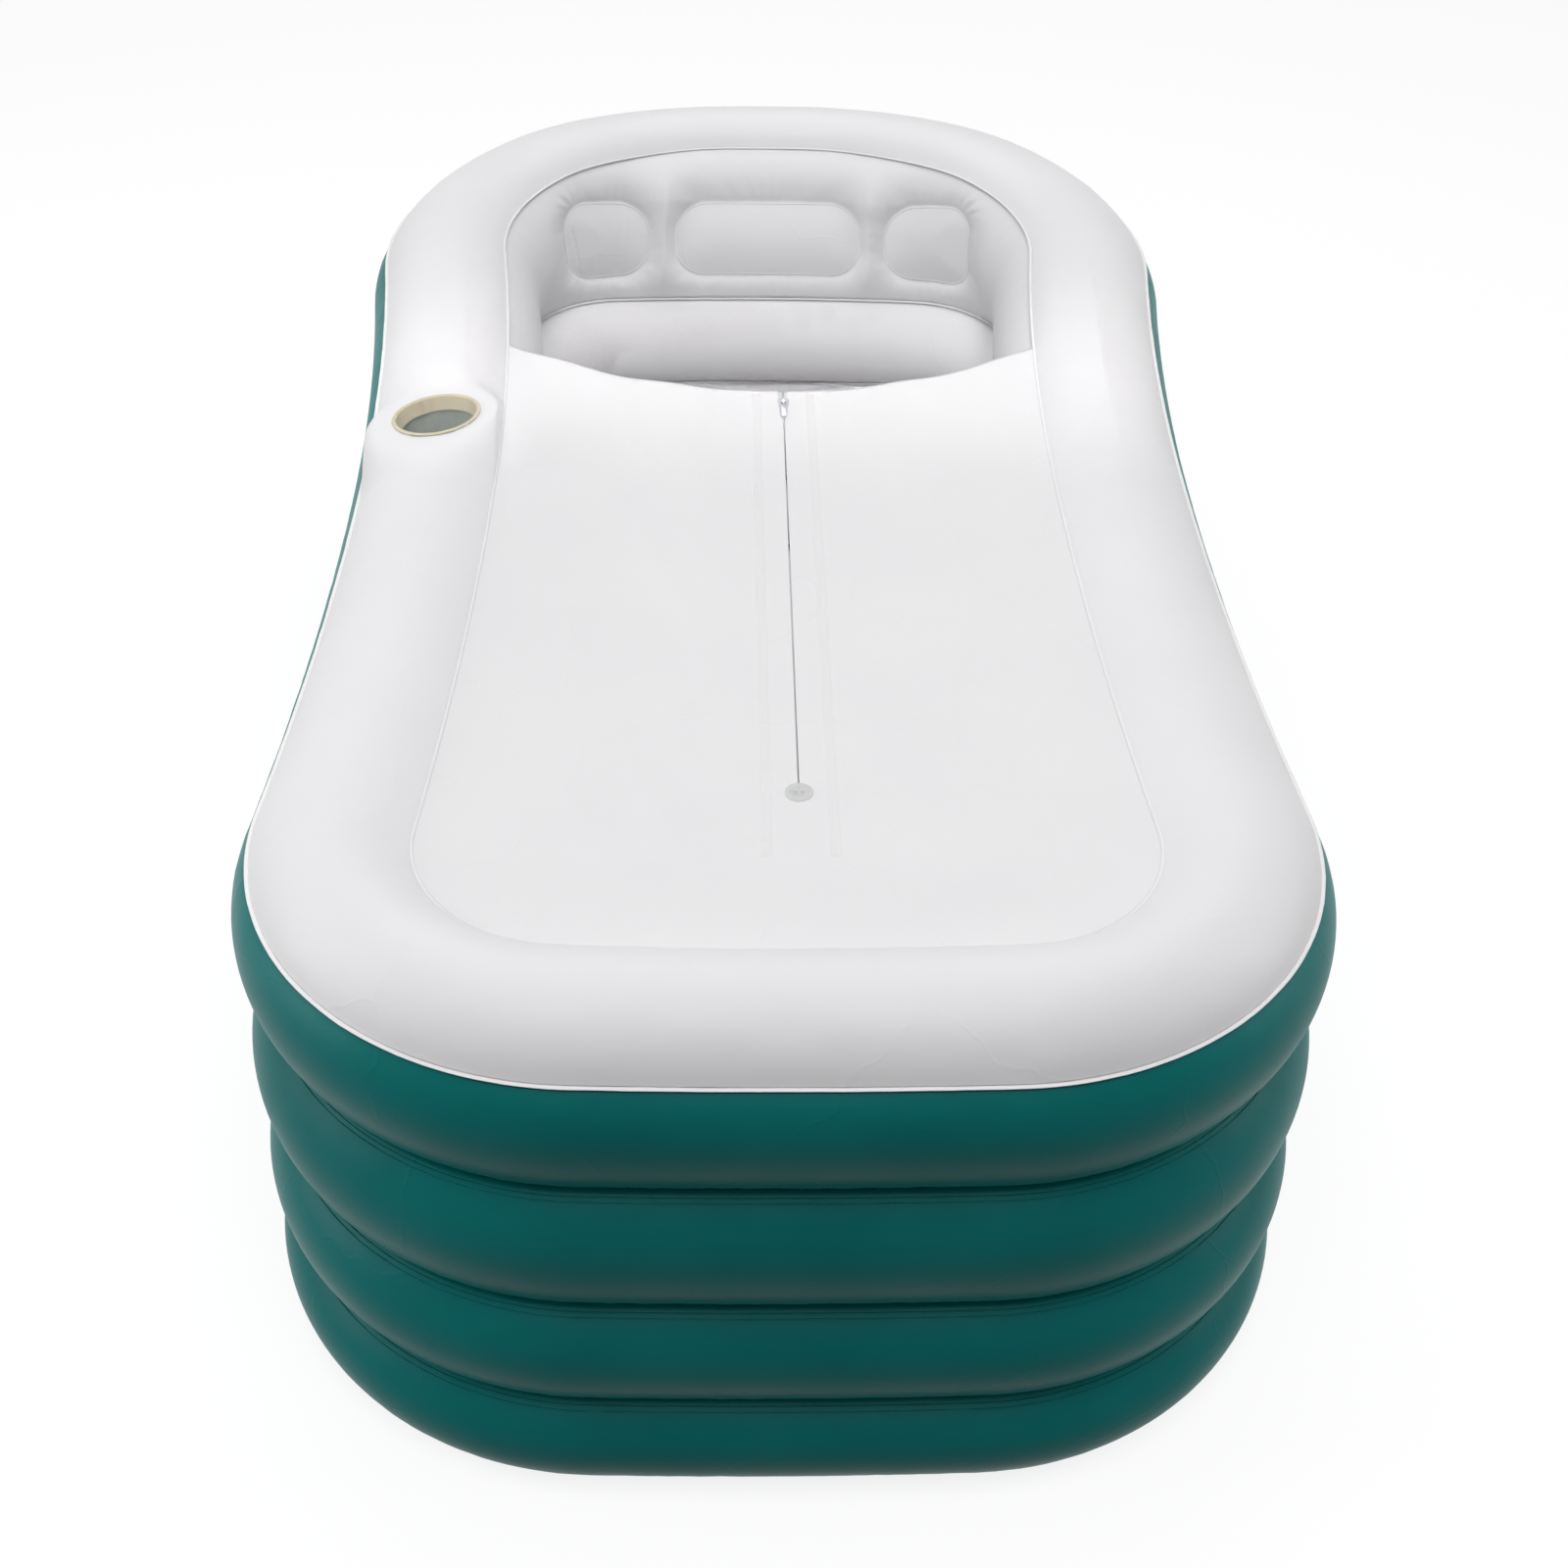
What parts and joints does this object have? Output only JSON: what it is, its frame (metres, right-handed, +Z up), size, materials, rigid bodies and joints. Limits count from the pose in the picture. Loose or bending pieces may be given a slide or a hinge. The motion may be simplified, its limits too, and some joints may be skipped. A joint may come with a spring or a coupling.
{
  "type": "inflatable bathtub",
  "caption": "Waisted inflatable bathtub of stacked air rings, with a domed rim, tufted sloping backrest, inflated floor, zipped cover over the foot end and a cup holder in the rim.",
  "frame": {"origin": "middle of the tub's footprint, on the floor", "axes": "+Z up, +Y towards the head end with the backrest, +X to the right of a person looking from the foot end to the head end"},
  "size_m": [0.848, 1.6012, 0.5015],
  "materials": {
    "white_pvc": "satin",
    "teal_pvc": "satin",
    "clear_pvc": "gloss",
    "grey_pvc": "satin",
    "zip_tape": "woven",
    "zip_coil": "satin",
    "slider_metal": "satin",
    "beige_plastic": "satin",
    "valve_plastic": "satin"
  },
  "bodies": {
    "tub": {"base_sheet": "white_pvc", "outer_wall_ring_1": "teal_pvc", "outer_wall_ring_2": "teal_pvc", "outer_wall_ring_3": "teal_pvc", "outer_wall_ring_4": "teal_pvc", "ring_web_1": "white_pvc", "ring_web_2": "white_pvc", "ring_web_3": "white_pvc", "inner_wall_ring_1": "white_pvc", "inner_wall_ring_2": "white_pvc", "inner_wall_ring_3": "white_pvc", "upper_inner_wall": "white_pvc", "rim_top_panel": "white_pvc", "rim_piping": "white_pvc", "floor_top_skin": "white_pvc", "backrest_strap_left": "white_pvc", "backrest_strap_middle": "white_pvc", "backrest_strap_right": "white_pvc", "cover_sheet": "white_pvc", "zip_tape_left": "zip_tape", "zip_tape_right": "zip_tape", "zip_coil_left": "zip_coil", "zip_coil_right": "zip_coil", "zip_weld_strip_left": "clear_pvc", "zip_weld_strip_right": "clear_pvc", "zip_end_patch": "clear_pvc", "cup_holder_collar": "beige_plastic", "cup_holder_sleeve": "grey_pvc", "cup_holder_floor": "grey_pvc", "valve_collar_1": "valve_plastic", "valve_collar_2": "valve_plastic", "valve_collar_3": "valve_plastic", "drain_fitting": "valve_plastic", "drain_outer_flange": "valve_plastic"},
    "zip_slider": {"zip_slider": "slider_metal"},
    "zip_puller": {"zip_puller": "slider_metal"},
    "valve_cap_1": {"valve_cap_1": "valve_plastic"},
    "valve_cap_2": {"valve_cap_2": "valve_plastic"},
    "valve_cap_3": {"valve_cap_3": "valve_plastic"},
    "drain_cap": {"drain_cap": "valve_plastic"}
  },
  "joints": [
    {"name": "zip_travel", "type": "slide", "parent": "tub", "child": "zip_slider", "axis": [0, -1, 0], "range_m": [0, 0.55]},
    {"name": "puller_swing", "type": "hinge", "parent": "zip_slider", "child": "zip_puller", "pos_m": [0.01, 0.116, 0.46748], "axis": [-1, 0, 0], "range_deg": [0, 165]},
    {"name": "valve_cap_1_turn", "type": "hinge", "parent": "tub", "child": "valve_cap_1", "pos_m": [-0.35488, 0.65827, 0.04915], "axis": [-0.8032, 0.5957, 0], "range_deg": [0, 450]},
    {"name": "valve_cap_2_turn", "type": "hinge", "parent": "tub", "child": "valve_cap_2", "pos_m": [-0.35483, 0.65824, 0.154], "axis": [-0.8032, 0.5957, 0], "range_deg": [0, 450]},
    {"name": "valve_cap_3_turn", "type": "hinge", "parent": "tub", "child": "valve_cap_3", "pos_m": [-0.35492, 0.6583, 0.39485], "axis": [-0.7996, 0.593, -0.0955], "range_deg": [0, 450]},
    {"name": "drain_cap_pull", "type": "slide", "parent": "tub", "child": "drain_cap", "axis": [1, 0, 0], "range_m": [0, 0.025]}
  ]
}
